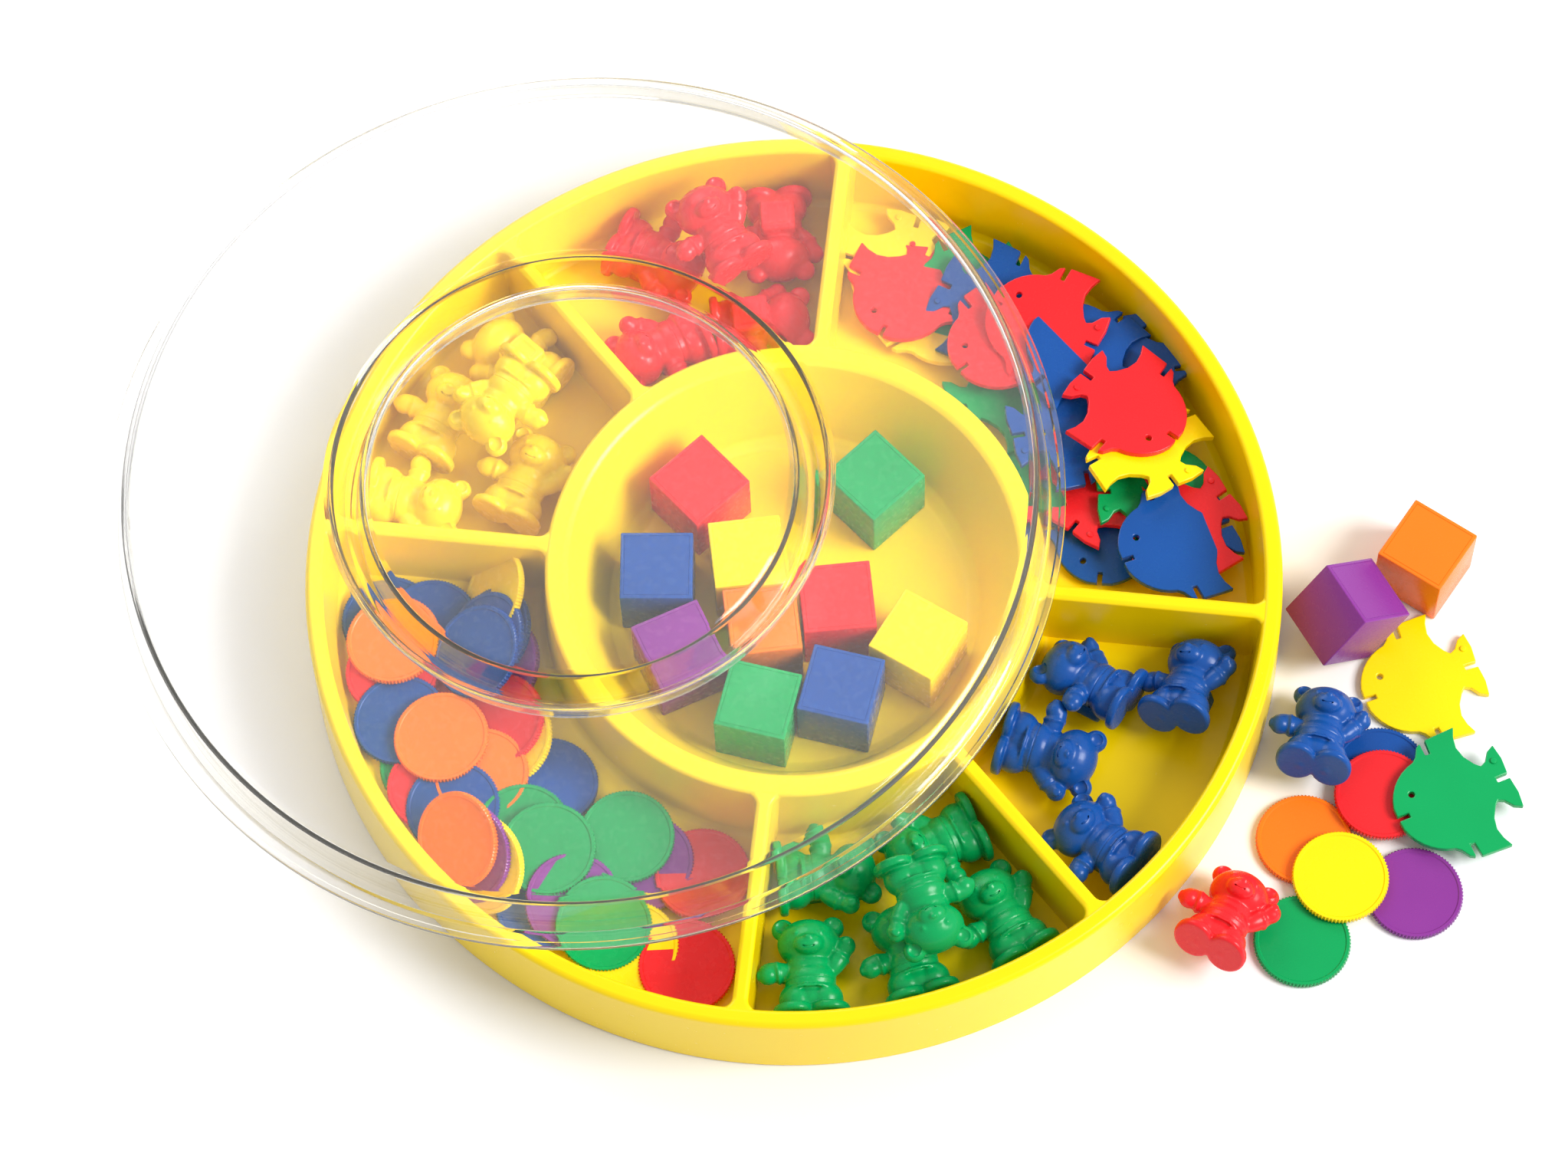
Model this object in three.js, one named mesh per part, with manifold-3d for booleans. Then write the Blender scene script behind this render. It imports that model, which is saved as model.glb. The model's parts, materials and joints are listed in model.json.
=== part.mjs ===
// A round sorting tray set: a tray with a central bowl and six wedge compartments, a clear raised
// lid that lies askew on it, and the counters that it sorts: bears, fish, discs and cubes.
// Millimetres, +Z up. The origin is the middle of the tray's flat underside.

import * as THREE from 'three';
import { mergeVertices } from 'three/addons/utils/BufferGeometryUtils.js';
import Module from 'manifold-3d';

const wasm = await Module();
wasm.setup();

// Tray
const TRAY_RADIUS = 134;
const TRAY_HEIGHT = 28.5;
const FLOOR = 2.8;
const RIM_WIDTH = 5;
const RIM_ROUND = 1.3;
const WALL_DRAFT = 1.8;
const SKIRT_FLARE = 0.6;
const BOWL_RIM_OUTER = 68.2;
const BOWL_RIM_INNER = 62.3;
const BOWL_FLOOR_RADIUS = 50.5;
const BOWL_SKIN = 2.4;
const BOWL_OUTSIDE_DRAFT = 1.4;
const DIVIDER_TOP_WIDTH = 4.2;
const DIVIDER_FOOT_WIDTH = 5.2;
const DIVIDER_DROP = 0.3;
const FIRST_DIVIDER = 81;
const DIVIDER_STEPS = [0, 45, 90, 180, 225, 270];

// Lid
const LID_RADIUS = TRAY_RADIUS - 1;
const LID_HEIGHT = 15.5;
const LID_SKIN = 1.6;
const LID_FLANGE = 4.5;
const LID_WALL_DRAFT = 3.2;
const LID_CHANNEL_OUTER = BOWL_RIM_OUTER - 0.3;
const LID_CHANNEL_INNER = BOWL_RIM_INNER - 2.4;
const LID_CHANNEL_DEPTH = 13;
const LID_CHANNEL_FLOOR = 1.8;
const LID_PLACE = [-57, 22.8];
const LID_TILT = 1.2;
const LID_REST_GAP = 1.2;

// Counters
const CUBE = 20;
const DISC_RADIUS = 13.2;
const DISC_THICK = 2;
const FISH_THICK = 2;
const FISH_BODY = 14;
const FISH_SLOT = 1.5;
const FISH_SLOT_DEPTH = 3.6;
const BEAR_HEIGHT = 28;
const BEAR_DEPTH = 0.85;
const BEAR_ARM = BEAR_HEIGHT * 0.17;

// Gaps, and the heights at which counters lie: on the tray's floor, a bear on its back, a cube
// tipped onto an edge, and one flat counter on the table or on another.
const GAP = 0.3;
const TOUCH = FLOOR + GAP;
const BEAR_BED = BEAR_HEIGHT * 0.285;
const CUBE_TIP = 38;
const CUBE_ON_EDGE = CUBE * 0.705 + GAP;
const FLAT = DISC_THICK / 2;
const FLAT_ON_FLAT = FLAT + DISC_THICK + GAP;

const ROUND_STEPS = 60;
const DISC_STEPS = 20;
const BEAR_STEPS = 8;

const COLOURS = {
  tray: 0xffe600,
  clear: 0xe8eef2,
  red: 0xe32a2e,
  yellow: 0xffe11a,
  green: 0x00a05a,
  blue: 0x1550a8,
  orange: 0xf78c28,
  purple: 0x7a3390,
};

const model = new THREE.Group();
const rad = THREE.MathUtils.degToRad;

// ---- solids -------------------------------------------------------------------------------

// The geometry as a closed triangle mesh: shared corners merged and slivers of no area dropped.
function closed(geometry) {
  const bare = geometry.index ? geometry.clone() : geometry;
  bare.deleteAttribute('normal');
  bare.deleteAttribute('uv');
  const merged = mergeVertices(bare, 1e-4);
  const from = merged.index.array;
  const kept = [];
  for (let i = 0; i < from.length; i += 3) {
    const [a, b, c] = [from[i], from[i + 1], from[i + 2]];
    if (a !== b && b !== c && c !== a) {
      kept.push(a, b, c);
    }
  }
  merged.setIndex(kept);
  return merged;
}

function toSolid(geometry) {
  const mesh = closed(geometry);
  return new wasm.Manifold(new wasm.Mesh({
    numProp: 3,
    vertProperties: Float32Array.from(mesh.attributes.position.array),
    triVerts: Uint32Array.from(mesh.index.array),
  }));
}

function toGeometry(solid) {
  const mesh = solid.getMesh();
  const geometry = new THREE.BufferGeometry();
  geometry.setAttribute('position', new THREE.BufferAttribute(mesh.vertProperties, 3));
  geometry.setIndex(new THREE.BufferAttribute(mesh.triVerts, 1));
  geometry.computeVertexNormals();
  return geometry;
}

function joined(first, ...others) {
  const whole = others.reduce((sum, next) => sum.add(toSolid(next)), toSolid(first));
  return toGeometry(whole);
}

// A solid of revolution about Z. The profile is [radius, height] pairs, from the underside's
// middle, out and up, and back to the upper side's middle.
function turned(profile, steps) {
  const points = profile.map(([r, z]) => new THREE.Vector2(r, z));
  return closed(new THREE.LatheGeometry(points, steps)).rotateX(Math.PI / 2);
}

function plastic(colour, name) {
  const clear = colour === 'clear';
  return new THREE.MeshStandardMaterial({
    name,
    color: COLOURS[colour],
    roughness: clear ? 0.05 : 0.3,
    metalness: 0,
    transparent: clear,
    opacity: clear ? 0.3 : 1,
  });
}

function add(name, geometry, colour) {
  const mesh = new THREE.Mesh(geometry, plastic(colour, name));
  mesh.name = name;
  model.add(mesh);
  return mesh;
}

// ---- tray ---------------------------------------------------------------------------------

function makeTray() {
  const top = TRAY_HEIGHT;
  const rimInner = TRAY_RADIUS - RIM_WIDTH;
  const wallFoot = rimInner - WALL_DRAFT;
  const bowlFoot = BOWL_RIM_OUTER + BOWL_OUTSIDE_DRAFT;
  const hollowTop = top - FLOOR;
  const slope = (BOWL_RIM_INNER - BOWL_FLOOR_RADIUS) / (top - FLOOR);
  const hollowIn = BOWL_FLOOR_RADIUS + BOWL_SKIN - slope * FLOOR;
  const shell = turned([
    [0, 0],
    [hollowIn, 0],
    [hollowIn + slope * hollowTop, hollowTop],
    [BOWL_RIM_OUTER - BOWL_SKIN, hollowTop],
    [bowlFoot - BOWL_SKIN, 0],
    [TRAY_RADIUS + SKIRT_FLARE, 0],
    [TRAY_RADIUS, top - RIM_ROUND],
    [TRAY_RADIUS - RIM_ROUND, top],
    [rimInner + RIM_ROUND, top],
    [rimInner, top - RIM_ROUND],
    [wallFoot, FLOOR],
    [bowlFoot, FLOOR],
    [BOWL_RIM_OUTER, top - RIM_ROUND],
    [BOWL_RIM_OUTER - RIM_ROUND, top],
    [BOWL_RIM_INNER + RIM_ROUND, top],
    [BOWL_RIM_INNER, top - RIM_ROUND],
    [BOWL_FLOOR_RADIUS, FLOOR],
    [0, FLOOR],
  ], ROUND_STEPS);
  return joined(shell, ...DIVIDER_STEPS.map((step) => divider(FIRST_DIVIDER + step)));
}

// A drafted rib from inside the bowl's wall to inside the rim, with chamfered top corners.
function divider(angle) {
  const start = BOWL_RIM_OUTER - BOWL_SKIN / 3;
  const end = TRAY_RADIUS - RIM_WIDTH / 2;
  const foot = FLOOR / 2;
  const head = TRAY_HEIGHT - DIVIDER_DROP;
  const halfFoot = DIVIDER_FOOT_WIDTH / 2;
  const halfTop = DIVIDER_TOP_WIDTH / 2;
  const section = new THREE.Shape([
    new THREE.Vector2(-halfFoot, foot),
    new THREE.Vector2(halfFoot, foot),
    new THREE.Vector2(halfTop, head - RIM_ROUND),
    new THREE.Vector2(halfTop - RIM_ROUND, head),
    new THREE.Vector2(RIM_ROUND - halfTop, head),
    new THREE.Vector2(-halfTop, head - RIM_ROUND),
  ]);
  const rib = new THREE.ExtrudeGeometry(section, { depth: end - start, bevelEnabled: false });
  const outward = new THREE.Matrix4().makeBasis(
    new THREE.Vector3(0, 1, 0),
    new THREE.Vector3(0, 0, 1),
    new THREE.Vector3(1, 0, 0),
  );
  return rib.applyMatrix4(outward).translate(start, 0, 0).rotateZ(rad(angle));
}

// ---- lid ----------------------------------------------------------------------------------

// A raised clear cover: a flat flange that lies on the tray's rim, a drafted wall, a flat top,
// and a channel round the middle that reaches down to the bowl's rim.
function makeLid() {
  const top = LID_HEIGHT;
  const under = top - LID_SKIN;
  const wallFoot = LID_RADIUS - LID_FLANGE;
  const wallHead = wallFoot - LID_WALL_DRAFT;
  const channelFloor = top - LID_CHANNEL_DEPTH;
  const middle = (LID_CHANNEL_OUTER + LID_CHANNEL_INNER) / 2;
  return turned([
    [0, under],
    [LID_CHANNEL_INNER - LID_SKIN, under],
    [middle - LID_CHANNEL_FLOOR / 2 - LID_SKIN, channelFloor - LID_SKIN],
    [middle + LID_CHANNEL_FLOOR / 2 + LID_SKIN, channelFloor - LID_SKIN],
    [LID_CHANNEL_OUTER + LID_SKIN, under],
    [wallHead - LID_SKIN, under],
    [wallFoot - LID_SKIN, 0],
    [LID_RADIUS, 0],
    [LID_RADIUS, LID_SKIN],
    [wallFoot, LID_SKIN],
    [wallHead, top],
    [LID_CHANNEL_OUTER, top],
    [middle + LID_CHANNEL_FLOOR / 2, channelFloor],
    [middle - LID_CHANNEL_FLOOR / 2, channelFloor],
    [LID_CHANNEL_INNER, top],
    [0, top],
  ], ROUND_STEPS);
}

// ---- counters -----------------------------------------------------------------------------

function makeCube() {
  return new THREE.BoxGeometry(CUBE, CUBE, CUBE);
}

function makeDisc() {
  return closed(new THREE.CylinderGeometry(DISC_RADIUS, DISC_RADIUS, DISC_THICK, DISC_STEPS))
    .rotateX(Math.PI / 2);
}

// A flat fish that swims along -X: a round body, a fin above and one below, a forked tail, and
// slots at the mouth, in both fins and in the tail, where fish link edge to edge.
function makeFish() {
  const r = FISH_BODY;
  const slot = FISH_SLOT / 2;
  const upper = [
    [FISH_SLOT_DEPTH - r, slot],
    [-r, slot],
    [-0.88 * r, 0.5 * r],
    [-0.62 * r, 0.79 * r],
    [-0.22 * r, 0.98 * r],
    [0.07 * r, 1.29 * r],
    [0.07 * r, 1.29 * r - FISH_SLOT_DEPTH],
    [0.07 * r + FISH_SLOT, 1.29 * r - FISH_SLOT_DEPTH],
    [0.07 * r + FISH_SLOT, 1.31 * r],
    [0.83 * r, 1.34 * r],
    [0.69 * r, 0.93 * r],
    [0.97 * r, 0.39 * r],
    [1.37 * r, 0.7 * r],
    [1.41 * r, slot],
    [1.41 * r - FISH_SLOT_DEPTH, slot],
  ];
  const lower = upper.map(([x, y]) => [x, -y]).reverse();
  const outline = new THREE.Shape([...upper, ...lower].map(([x, y]) => new THREE.Vector2(x, y)));
  const plate = new THREE.ExtrudeGeometry(outline, { depth: FISH_THICK, bevelEnabled: false });
  return closed(plate.translate(0, 0, -FISH_THICK / 2));
}

// A teddy that stands on a flat sole and faces -Y: one arm up, one arm out, two ears.
// Its origin is half way up.
function makeBear() {
  const h = BEAR_HEIGHT;
  const figure = turned([
    [0, 0],
    [0.28 * h, 0],
    [0.237 * h, 0.167 * h],
    [0.274 * h, 0.389 * h],
    [0.2 * h, 0.574 * h],
    [0.296 * h, 0.748 * h],
    [0.2 * h, 0.948 * h],
    [0, h],
  ], BEAR_STEPS).scale(1, BEAR_DEPTH, 1);
  const armOut = new THREE.BoxGeometry(0.296 * h, BEAR_ARM, BEAR_ARM)
    .translate(-0.281 * h, -0.037 * h, 0.474 * h);
  const armUp = new THREE.BoxGeometry(BEAR_ARM, BEAR_ARM, 0.333 * h)
    .rotateY(rad(28))
    .translate(0.289 * h, -0.037 * h, 0.57 * h);
  const ear = () => new THREE.BoxGeometry(BEAR_ARM, 0.11 * h, 0.163 * h);
  const earLeft = ear().translate(-0.222 * h, 0, 0.896 * h);
  const earRight = ear().translate(0.222 * h, 0, 0.896 * h);
  return joined(figure, armOut, armUp, earLeft, earRight).translate(0, 0, -h / 2);
}

// ---- placing ------------------------------------------------------------------------------

// Flat pieces and cubes: a turn about Z, then a lean of so many degrees towards a bearing.
function lay(mesh, [x, y, z], turn = 0, lean = 0, bearing = 0) {
  const towards = new THREE.Vector3(-Math.sin(rad(bearing)), Math.cos(rad(bearing)), 0);
  const tip = new THREE.Quaternion().setFromAxisAngle(towards, rad(lean));
  const spin = new THREE.Quaternion().setFromAxisAngle(new THREE.Vector3(0, 0, 1), rad(turn));
  mesh.quaternion.copy(tip.multiply(spin));
  mesh.position.set(x, y, z);
}

// Bears: the head points along a bearing, raised by so many degrees, with the face turned so
// many degrees about the body from straight up.
function layBear(mesh, [x, y, z], bearing, raise, roll) {
  const head = new THREE.Vector3(
    Math.cos(rad(bearing)) * Math.cos(rad(raise)),
    Math.sin(rad(bearing)) * Math.cos(rad(raise)),
    Math.sin(rad(raise)),
  );
  const across = new THREE.Vector3(Math.sin(rad(bearing)), -Math.cos(rad(bearing)), 0);
  const back = new THREE.Vector3().crossVectors(head, across);
  const stand = new THREE.Matrix4().makeBasis(across, back, head);
  const pose = new THREE.Quaternion().setFromRotationMatrix(stand);
  const about = new THREE.Quaternion().setFromAxisAngle(new THREE.Vector3(0, 0, 1), rad(roll));
  mesh.quaternion.copy(pose.multiply(about));
  mesh.position.set(x, y, z);
}

// Colour, place and turn of each cube in the bowl.
const CUBES = [
  ['red', [-24.8, 30], 40],
  ['green', [23.8, 28.8], 41],
  ['blue', [-37.6, 4.5], -3],
  ['yellow', [-12.4, 7.4], 4],
  ['orange', [-9.2, -13.2], 4],
  ['red', [11.6, -7.6], 3],
  ['yellow', [33.2, -20], -34],
  ['purple', [-32.4, -19.2], 22],
  ['green', [-11.4, -37], -17],
  ['blue', [11.4, -33.8], -17],
];

// Each bear in the tray: how far out from the bowl's rim, on which bearing and how far above
// the floor's own layer it lies, then the bearing of its head, its raise and its roll.
const BEARS = {
  red: [
    [[42.7, 89.7, 0], -89, 0, 180],
    [[43, 107.5, 0], -30, 0, 0],
    [[16.6, 114.1, 0], 204, 0, 0],
    [[15.9, 93.3, 0], 4, 0, 180],
    [[40, 99, 15], 120, 6, 0],
  ],
  yellow: [
    [[45, 148.3, 0], 60, 0, 0],
    [[39.5, 134.6, 0], 134, 0, 180],
    [[28, 145, 15], -130, -5, 0],
    [[41.2, 162.5, 0], 343, 0, 0],
    [[14.6, 152, 0], 62, 0, 0],
  ],
  green: [
    [[16.2, 273.5, 0], 4, 0, 0],
    [[42.5, 269.5, 0], 90, 0, 0],
    [[42.5, 283.5, 0], 104, 0, 0],
    [[16.4, 293.5, 0], 203, 0, 0],
    [[37, 287, 15], -75, -5, 0],
    [[42.5, 297.5, 0], 118, 0, 0],
  ],
  blue: [
    [[16.5, 338.5, 0.9], 145, -5, 25],
    [[44, 342.3, 2.9], 65, -15, -25],
    [[17, 322.4, 0.4], -22, 0, 15],
    [[43.9, 314.6, 3.4], 138, -12, 0],
  ],
};

// Each disc and fish in the tray: its colour and place as for a bear, then its turn about Z,
// and how far it leans towards which bearing.
const DISCS = [
  ['blue', [33, 181, 2.3], 0, 3, 180],
  ['orange', [43.5, 184, 6.1], 0, 5, 180],
  ['orange', [37.5, 201, 6.3], 0, 4, 200],
  ['blue', [18, 216.5, 2.9], 0, 8, 20],
  ['green', [33, 226, 7.4], 0, 6, 240],
  ['green', [17, 235, 5.7], 0, 5, 250],
  ['red', [17, 250.2, 2.8], 0, 4, 100],
  ['red', [43.7, 252.3, 2.5], 0, 3, 270],
];

const FISH = [
  ['red', [29, 69, 5.4], 60, 5, 90],
  ['red', [26, 50, 9.4], 35, 6, 60],
  ['blue', [25, 28.5, 12.1], -170, 6, 20],
  ['blue', [39.4, 40, 13.3], -50, 7, 30],
  ['red', [40, 25, 16.9], 140, 10, 30],
  ['green', [40, 13.6, 7.1], 180, 5, 0],
  ['blue', [20, 9, 2.9], 80, 4, 200],
  ['blue', [36, 4, 10.4], 20, 5, 10],
];

function polar(radius, bearing, z) {
  return [radius * Math.cos(rad(bearing)), radius * Math.sin(rad(bearing)), z];
}

// A point in a compartment: so far out from the bowl's rim, on a bearing, above the floor.
function inTray([out, bearing, z]) {
  return polar(BOWL_RIM_OUTER + out, bearing, TOUCH + z);
}

// A point beside the tray: so far out from its rim, on a bearing, above the table.
function beside(out, bearing, z) {
  return polar(TRAY_RADIUS + out, bearing, z);
}

function addTrayContents() {
  CUBES.forEach(([colour, [x, y], turn], i) => {
    const mesh = add(`cube_${colour}_${i + 1}`, makeCube(), colour);
    lay(mesh, [x, y, TOUCH + CUBE / 2], turn);
  });
  Object.entries(BEARS).forEach(([colour, rows]) => {
    rows.forEach(([[out, at, layer], bearing, raise, roll], i) => {
      const mesh = add(`bear_${colour}_${i + 1}`, makeBear(), colour);
      layBear(mesh, inTray([out, at, BEAR_BED + layer]), bearing, raise, roll);
    });
  });
  DISCS.forEach(([colour, place, turn, lean, bearing], i) => {
    const mesh = add(`disc_${colour}_${i + 1}`, makeDisc(), colour);
    lay(mesh, inTray(place), turn, lean, bearing);
  });
  FISH.forEach(([colour, place, turn, lean, bearing], i) => {
    const mesh = add(`fish_${colour}_${i + 1}`, makeFish(), colour);
    lay(mesh, inTray(place), turn, lean, bearing);
  });
}

// The twelve counters that lie on the table, at the tray's right.
function addLooseCounters() {
  const put = (kind, geometry, colour) => add(`loose_${kind}_${colour}`, geometry, colour);
  lay(put('cube', makeCube(), 'orange'), beside(CUBE * 2.05, 0.3, CUBE / 2), -37);
  lay(put('cube', makeCube(), 'purple'), beside(CUBE * 0.93, -5.9, CUBE_ON_EDGE), 27, CUBE_TIP, 27);
  lay(put('fish', makeFish(), 'yellow'), beside(38.1, -11.1, FLAT), 16);
  lay(put('fish', makeFish(), 'green'), beside(53.5, -21.9, 5.6), 20);
  lay(put('disc', makeDisc(), 'blue'), beside(34.5, -20.3, FLAT));
  lay(put('disc', makeDisc(), 'red'), beside(36.9, -22.7, FLAT_ON_FLAT));
  lay(put('disc', makeDisc(), 'orange'), beside(21.9, -29.7, FLAT));
  lay(put('disc', makeDisc(), 'yellow'), beside(35.6, -31.8, FLAT_ON_FLAT));
  lay(put('disc', makeDisc(), 'purple'), beside(55.2, -29.9, FLAT));
  lay(put('disc', makeDisc(), 'green'), beside(35.9, -38.8, FLAT));
  layBear(put('bear', makeBear(), 'blue'), beside(16.2, -19, BEAR_BED + 2.4), 73, -18, 0);
  layBear(put('bear', makeBear(), 'red'), beside(17.3, -41.9, BEAR_BED + 2.4), 59, -18, 0);
}

add('tray', makeTray(), 'tray');
const lid = add('lid', makeLid(), 'clear');
const lidBearing = THREE.MathUtils.radToDeg(Math.atan2(LID_PLACE[1], LID_PLACE[0]));
lay(lid, [...LID_PLACE, TRAY_HEIGHT + LID_REST_GAP], 0, LID_TILT, lidBearing);
addTrayContents();
addLooseCounters();

export default model;
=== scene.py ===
# %% [markdown]
# # A sorting tray and its counters
# The real set is a round moulded tray with a bowl and six compartments, a clear lid that lies
# askew on it, and small moulded counters: bears, fish, discs and cubes. The CAD frame says where
# every piece is. This file gives each piece its real shape and finish, in the same place.

# %% Load the frame
import json
import math

import bpy
from mathutils import Matrix, Vector


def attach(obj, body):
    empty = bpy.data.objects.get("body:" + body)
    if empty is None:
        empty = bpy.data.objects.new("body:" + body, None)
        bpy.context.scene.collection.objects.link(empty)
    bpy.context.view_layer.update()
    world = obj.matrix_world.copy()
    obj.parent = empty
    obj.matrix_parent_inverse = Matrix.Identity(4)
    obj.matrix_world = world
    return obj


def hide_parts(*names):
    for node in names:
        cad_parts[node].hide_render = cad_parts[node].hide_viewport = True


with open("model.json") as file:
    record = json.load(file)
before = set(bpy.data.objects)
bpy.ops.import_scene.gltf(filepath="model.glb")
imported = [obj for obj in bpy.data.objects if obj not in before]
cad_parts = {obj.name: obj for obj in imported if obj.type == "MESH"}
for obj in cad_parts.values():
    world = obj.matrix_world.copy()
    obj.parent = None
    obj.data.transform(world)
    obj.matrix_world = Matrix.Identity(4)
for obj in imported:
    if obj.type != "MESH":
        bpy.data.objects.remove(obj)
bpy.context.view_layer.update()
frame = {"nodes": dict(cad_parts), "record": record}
print("the frame holds", len(frame["nodes"]), "CAD nodes")

# %% [markdown]
# ## Camera, light and table
# The camera stands high in front of the tray and looks down at it, from far away, so the rings
# stay nearly true ellipses. The light is a wide soft panel at the right, a fainter one behind and
# a white surround. The table is plain white.

# %% Camera
CAMERA_PLACE = Vector((-0.0026, -0.6161, 1.3641))
CAMERA_RIGHT = Vector((0.9988, -0.0450, -0.0207))
CAMERA_UP = Vector((0.0495, 0.9076, 0.4169))
LENS_MM = 123.2
SENSOR_MM = 36.0

camera_data = bpy.data.cameras.new("camera")
camera_data.lens = LENS_MM
camera_data.sensor_width = SENSOR_MM
camera_data.clip_end = 50
camera = bpy.data.objects.new("camera", camera_data)
bpy.context.scene.collection.objects.link(camera)
backward = CAMERA_RIGHT.cross(CAMERA_UP).normalized()
turn = Matrix((CAMERA_RIGHT, backward.cross(CAMERA_RIGHT).normalized(), backward)).transposed()
camera.matrix_world = Matrix.Translation(CAMERA_PLACE) @ turn.to_4x4()
bpy.context.scene.camera = camera
print("the camera is", round((camera.location).length, 3), "m from the tray's middle")

# %% Light and table
scene = bpy.context.scene
scene.view_settings.view_transform = "Standard"
scene.view_settings.look = "None"


def soft_panel(name, place, target, size, watts):
    """A square softbox at a place, aimed at a target."""
    data = bpy.data.lights.new(name, "AREA")
    data.size = size
    data.energy = watts
    lamp = bpy.data.objects.new(name, data)
    scene.collection.objects.link(lamp)
    aim = Vector(target) - Vector(place)
    lamp.rotation_euler = aim.to_track_quat("-Z", "Y").to_euler()
    lamp.location = place
    return lamp


soft_panel("key_panel", (1.25, -0.35, 1.15), (0, 0, 0), 0.75, 29)
soft_panel("back_panel", (-0.5, 1.3, 1.2), (0, 0, 0), 1.0, 9)

world = bpy.data.worlds.new("white_surround")
scene.world = world
world.use_nodes = True
world.node_tree.nodes["Background"].inputs["Color"].default_value = (1, 1, 1, 1)
world.node_tree.nodes["Background"].inputs["Strength"].default_value = 0.56

bpy.ops.object.select_all(action="DESELECT")
bpy.ops.mesh.primitive_plane_add(size=8, location=(0, 0, -0.0002))
table = bpy.context.object
table.name = "table"
table_finish = bpy.data.materials.new("white_table")
table_finish.use_nodes = True
table_shader = table_finish.node_tree.nodes["Principled BSDF"]
table_shader.inputs["Base Color"].default_value = (0.93, 0.93, 0.94, 1)
table_shader.inputs["Roughness"].default_value = 0.55
table.data.materials.append(table_finish)
print("lights and table are set")

# %% [markdown]
# ## Finishes
# Every counter and the tray is moulded plastic with the same faint faults: a slow drift of
# colour, a skin that is a little glossier in some places than in others, and a fine ripple. That
# effect is one node group, built once. Each material places it with its own colours.

# %% A node group for moulded plastic


def moulded_group():
    """Object place in, colour, roughness and normal out."""
    group = bpy.data.node_groups.new("moulded_skin", "ShaderNodeTree")
    face = group.interface
    face.new_socket("Light Colour", in_out="INPUT", socket_type="NodeSocketColor")
    face.new_socket("Deep Colour", in_out="INPUT", socket_type="NodeSocketColor")
    face.new_socket("Least Roughness", in_out="INPUT", socket_type="NodeSocketFloat")
    face.new_socket("Most Roughness", in_out="INPUT", socket_type="NodeSocketFloat")
    face.new_socket("Ripple", in_out="INPUT", socket_type="NodeSocketFloat")
    face.new_socket("Colour", in_out="OUTPUT", socket_type="NodeSocketColor")
    face.new_socket("Roughness", in_out="OUTPUT", socket_type="NodeSocketFloat")
    face.new_socket("Normal", in_out="OUTPUT", socket_type="NodeSocketVector")
    nodes, links = group.nodes, group.links
    given = nodes.new("NodeGroupInput")
    made = nodes.new("NodeGroupOutput")
    place = nodes.new("ShaderNodeTexCoord")
    drift = nodes.new("ShaderNodeTexNoise")
    drift.inputs["Scale"].default_value = 38
    drift.inputs["Detail"].default_value = 3
    skin = nodes.new("ShaderNodeTexNoise")
    skin.inputs["Scale"].default_value = 420
    skin.inputs["Detail"].default_value = 2
    blend = nodes.new("ShaderNodeMix")
    blend.data_type = "RGBA"
    span = nodes.new("ShaderNodeMapRange")
    bump = nodes.new("ShaderNodeBump")
    bump.inputs["Distance"].default_value = 0.00012
    links.new(place.outputs["Object"], drift.inputs["Vector"])
    links.new(place.outputs["Object"], skin.inputs["Vector"])
    links.new(drift.outputs["Fac"], blend.inputs["Factor"])
    links.new(given.outputs["Light Colour"], blend.inputs["A"])
    links.new(given.outputs["Deep Colour"], blend.inputs["B"])
    links.new(blend.outputs["Result"], made.inputs["Colour"])
    links.new(skin.outputs["Fac"], span.inputs["Value"])
    links.new(given.outputs["Least Roughness"], span.inputs["To Min"])
    links.new(given.outputs["Most Roughness"], span.inputs["To Max"])
    links.new(span.outputs["Result"], made.inputs["Roughness"])
    links.new(skin.outputs["Fac"], bump.inputs["Height"])
    links.new(given.outputs["Ripple"], bump.inputs["Strength"])
    links.new(bump.outputs["Normal"], made.inputs["Normal"])
    return group


MOULDED = moulded_group()


def moulded_plastic(name, light, deep, rough=(0.24, 0.30), ripple=0.03):
    """A glossy moulded plastic that drifts between two close colours."""
    material = bpy.data.materials.new(name)
    material.use_nodes = True
    nodes, links = material.node_tree.nodes, material.node_tree.links
    shader = nodes["Principled BSDF"]
    skin = nodes.new("ShaderNodeGroup")
    skin.node_tree = MOULDED
    skin.inputs["Light Colour"].default_value = (*light, 1)
    skin.inputs["Deep Colour"].default_value = (*deep, 1)
    skin.inputs["Least Roughness"].default_value = rough[0]
    skin.inputs["Most Roughness"].default_value = rough[1]
    skin.inputs["Ripple"].default_value = ripple
    links.new(skin.outputs["Colour"], shader.inputs["Base Color"])
    links.new(skin.outputs["Roughness"], shader.inputs["Roughness"])
    links.new(skin.outputs["Normal"], shader.inputs["Normal"])
    shader.inputs["IOR"].default_value = 1.5
    shader.inputs["Specular IOR Level"].default_value = 0.32
    return material


FINISH = {
    "tray": moulded_plastic("tray_yellow", (1.0, 0.73, 0.0), (1.0, 0.68, 0.0), (0.2, 0.3), 0.03),
    "red": moulded_plastic("counter_red", (0.86, 0.022, 0.028), (0.78, 0.014, 0.020)),
    "yellow": moulded_plastic("counter_yellow", (1.0, 0.75, 0.0), (1.0, 0.70, 0.0)),
    "green": moulded_plastic("counter_green", (0.0, 0.37, 0.10), (0.0, 0.31, 0.08)),
    "blue": moulded_plastic("counter_blue", (0.008, 0.085, 0.36), (0.006, 0.065, 0.29)),
    "orange": moulded_plastic("counter_orange", (0.97, 0.21, 0.010), (0.95, 0.18, 0.008)),
    "purple": moulded_plastic("counter_purple", (0.26, 0.04, 0.30), (0.21, 0.028, 0.25)),
}
print("finishes:", ", ".join(FINISH))

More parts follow.
